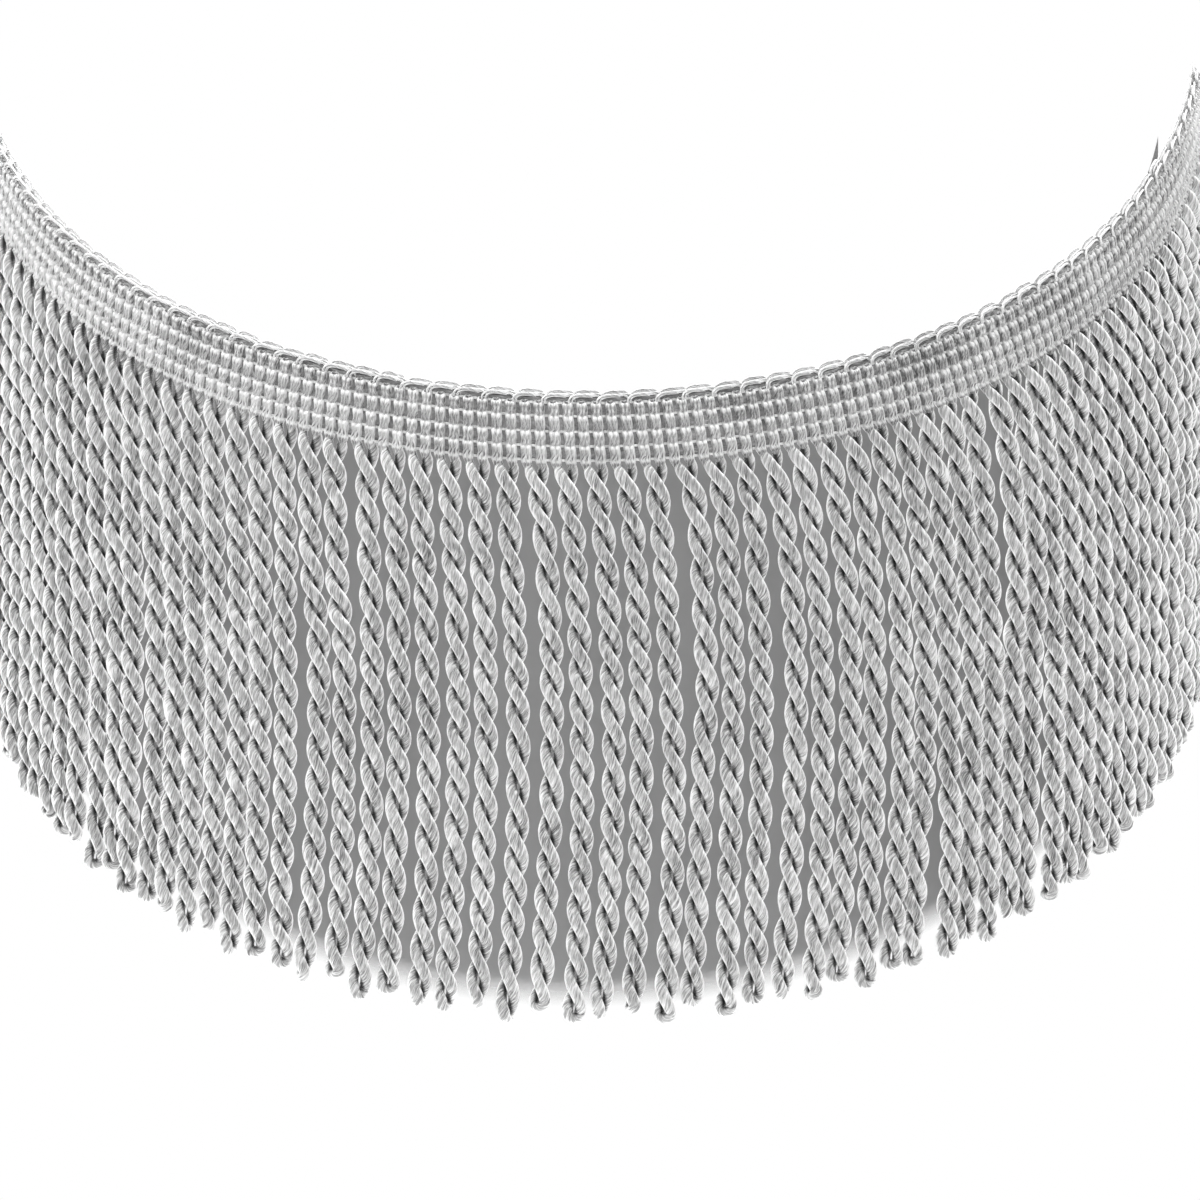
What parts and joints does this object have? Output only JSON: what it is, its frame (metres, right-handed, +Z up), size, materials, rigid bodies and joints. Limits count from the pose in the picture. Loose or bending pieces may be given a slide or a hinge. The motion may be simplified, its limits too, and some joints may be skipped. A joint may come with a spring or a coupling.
{
  "type": "bullion fringe",
  "caption": "Curved swag of bullion fringe: a ribbed crochet heading with a looped top edge and a skirt of twisted two-ply cords with looped ends.",
  "frame": {"origin": "middle of the top edge, on the crest of the lowest loop, halfway through the heading's thickness", "axes": "+X along the heading towards the viewer's right, +Y to the back, the side that is sewn on, +Z up"},
  "size_m": [0.2067, 0.1029, 0.1563],
  "materials": {
    "cord_yarn": "lustrous silver-grey rayon yarn, plied and twisted",
    "heading_yarn": "lustrous silver-grey rayon yarn, crocheted into ribs with fine chain-stitch thread",
    "loop_yarn": "lustrous silver-grey rayon yarn in small overlapping loops"
  },
  "bodies": {
    "root": {"loop_edging": "loop_yarn", "heading_band": "heading_yarn", "bullion_cords": "cord_yarn"}
  },
  "joints": []
}
